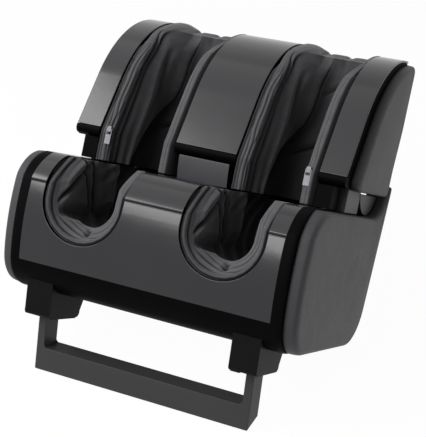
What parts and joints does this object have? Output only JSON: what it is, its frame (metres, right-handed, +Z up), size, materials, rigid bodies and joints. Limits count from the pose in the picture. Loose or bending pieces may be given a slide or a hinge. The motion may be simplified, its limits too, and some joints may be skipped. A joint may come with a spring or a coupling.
{
  "type": "foot and calf massager",
  "caption": "Floor-standing foot and calf massager tipped back on a fold-out stand, with two lined foot wells, kneading rollers and a tilting two-trough calf unit.",
  "frame": {"origin": "centre of the footprint on the floor, in the pose in which the machine stands tipped back on its stand", "axes": "+X to the machine's left-to-right width seen from the front, +Y from the front (foot openings) to the back, +Z up"},
  "size_m": [0.442, 0.4807, 0.378],
  "materials": {
    "gloss_black": "gloss",
    "satin_black": "satin",
    "stand_grey": "satin",
    "upholstery": "satin",
    "lining_fabric": "matt",
    "neck_grey": "gloss",
    "steel": "satin",
    "rubber": "matt",
    "nylon": "satin",
    "bronze": "satin",
    "motor_can": "satin",
    "board_green": "satin"
  },
  "bodies": {
    "base": {"base_tray": "satin_black", "front_cover": "gloss_black", "top_cover": "gloss_black", "back_cover": "satin_black", "side_housing_left": "satin_black", "side_housing_right": "satin_black", "side_pad_left": "upholstery", "side_pad_right": "upholstery", "inner_frame": "satin_black", "foot_liner_left": "lining_fabric", "foot_liner_right": "lining_fabric", "foot_airbags": "rubber", "bearing_blocks": "nylon", "bushes": "bronze", "drive_motor": "motor_can", "drive_belt": "rubber", "air_pump": "steel", "valve_block": "nylon", "air_hoses": "rubber", "power_supply": "steel", "control_board": "board_green", "power_inlet": "satin_black", "switch_frame": "satin_black", "front_foot_left": "satin_black", "front_foot_right": "satin_black", "foot_tips": "rubber", "rocker_pads": "rubber", "hinge_bracket_left": "steel", "hinge_bracket_right": "steel", "stand_pins": "steel", "base_screws": "steel"},
    "rear_roller_set": {"roller_shaft_rear": "steel", "rollers_rear": "nylon", "drive_gear": "nylon", "pulley_rear": "nylon"},
    "front_roller_set": {"roller_shaft_front": "steel", "rollers_front": "nylon", "pulley_front": "nylon"},
    "pinion": {"motor_pinion": "steel"},
    "switch_rocker": {"mains_switch": "satin_black"},
    "stand": {"stand_frame": "stand_grey", "stand_floor_strip": "rubber", "stand_bumper": "rubber"},
    "calf_unit": {"calf_shell": "satin_black", "neck_drum": "neck_grey", "neck_plate": "neck_grey", "neck_links": "satin_black", "centre_cover": "gloss_black", "arm_cover_left": "gloss_black", "arm_cover_right": "gloss_black", "calf_liner_left": "lining_fabric", "calf_liner_right": "lining_fabric", "calf_airbags": "rubber", "leaf_pad_left": "upholstery", "leaf_pad_right": "upholstery", "hinge_pins": "steel", "zip_sliders": "steel", "calf_screws": "steel"},
    "zip_bow_left": {"zip_pull_left": "steel"},
    "zip_bow_right": {"zip_pull_right": "steel"}
  },
  "joints": [
    {"name": "rear_roller_spin", "type": "hinge", "parent": "base", "child": "rear_roller_set", "pos_m": [0, -0.04267, 0.08101], "axis": [1, 0, 0], "continuous": true},
    {"name": "front_roller_spin", "type": "hinge", "parent": "base", "child": "front_roller_set", "pos_m": [0, -0.14823, 0.13808], "axis": [1, 0, 0], "continuous": true},
    {"name": "pinion_spin", "type": "hinge", "parent": "base", "child": "pinion", "pos_m": [0.052, -0.07583, 0.09894], "axis": [1, 0, 0], "continuous": true},
    {"name": "calf_tilt", "type": "hinge", "parent": "base", "child": "calf_unit", "pos_m": [0, 0.11016, 0.21437], "axis": [-1, 0, 0], "range_deg": [0, 20]},
    {"name": "stand_fold", "type": "hinge", "parent": "base", "child": "stand", "pos_m": [0, -0.19738, 0.08713], "axis": [1, 0, 0], "range_deg": [0, 77.5]},
    {"name": "mains_switch_rock", "type": "hinge", "parent": "base", "child": "switch_rocker", "pos_m": [-0.076, 0.07686, 0.05503], "axis": [1, 0, 0], "range_deg": [0, 16]},
    {"name": "zip_swing_left", "type": "hinge", "parent": "calf_unit", "child": "zip_bow_left", "pos_m": [-0.1545, -0.02052, 0.28503], "axis": [-1, 0, 0], "range_deg": [0, 110]},
    {"name": "zip_swing_right", "type": "hinge", "parent": "calf_unit", "child": "zip_bow_right", "pos_m": [0.1545, -0.02052, 0.28503], "axis": [-1, 0, 0], "range_deg": [0, 110]}
  ],
  "couplings": [
    {"joint": "front_roller_spin", "follows": "rear_roller_spin", "ratio": 1},
    {"joint": "pinion_spin", "follows": "rear_roller_spin", "ratio": -4}
  ]
}
